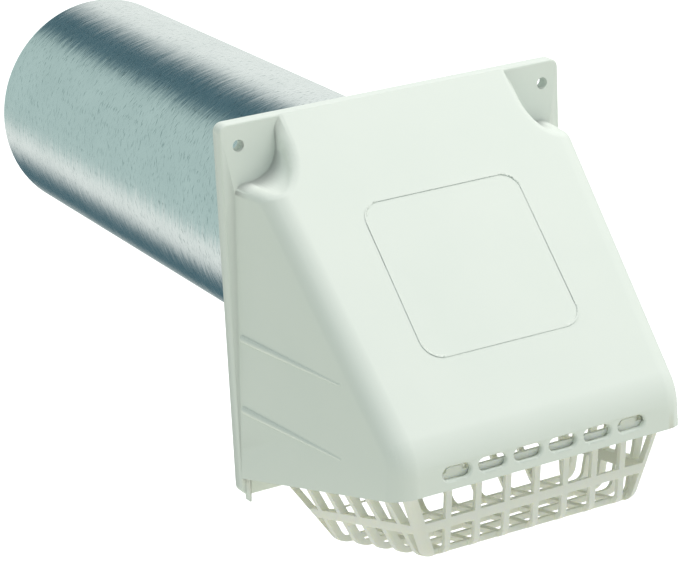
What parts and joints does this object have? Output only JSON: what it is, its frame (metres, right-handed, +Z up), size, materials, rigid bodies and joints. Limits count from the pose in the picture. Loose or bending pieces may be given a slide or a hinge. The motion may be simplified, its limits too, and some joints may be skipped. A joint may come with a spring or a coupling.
{
  "type": "exterior wall vent hood",
  "caption": "Exterior wall vent hood with a sloping roof, a metal tail pipe, a hinged back-draft flap and a lift-off bird guard under the mouth.",
  "frame": {"origin": "the duct's axis where it crosses the wall plane, which is the flange's back", "axes": "-Y points out of the wall along the duct, towards the hood; +Y runs back along the tail pipe; +Z is up"},
  "size_m": [0.1524, 0.386, 0.1645],
  "materials": {
    "hood_plastic": "satin moulded plastic, off-white",
    "guard_plastic": "satin moulded plastic, off-white",
    "flap_plastic": "satin moulded plastic, off-white",
    "pipe_metal": "bright bare sheet metal with fine scratches",
    "rivet_metal": "bare aluminium",
    "rod_steel": "drawn steel wire"
  },
  "bodies": {
    "housing": {"hood": "hood_plastic", "tail_pipe": "pipe_metal", "pipe_rivets": "rivet_metal", "hinge_rod": "rod_steel"},
    "damper": {"damper_flap": "flap_plastic"},
    "guard": {"bird_guard": "guard_plastic"}
  },
  "joints": [
    {"name": "damper_hinge", "type": "hinge", "parent": "housing", "child": "damper", "pos_m": [0, -0.0114, 0.054], "axis": [-1, 0, 0], "range_deg": [0, 45]},
    {"name": "guard_release", "type": "slide", "parent": "housing", "child": "guard", "axis": [0, 0, -1], "range_m": [0, 0.06]}
  ]
}
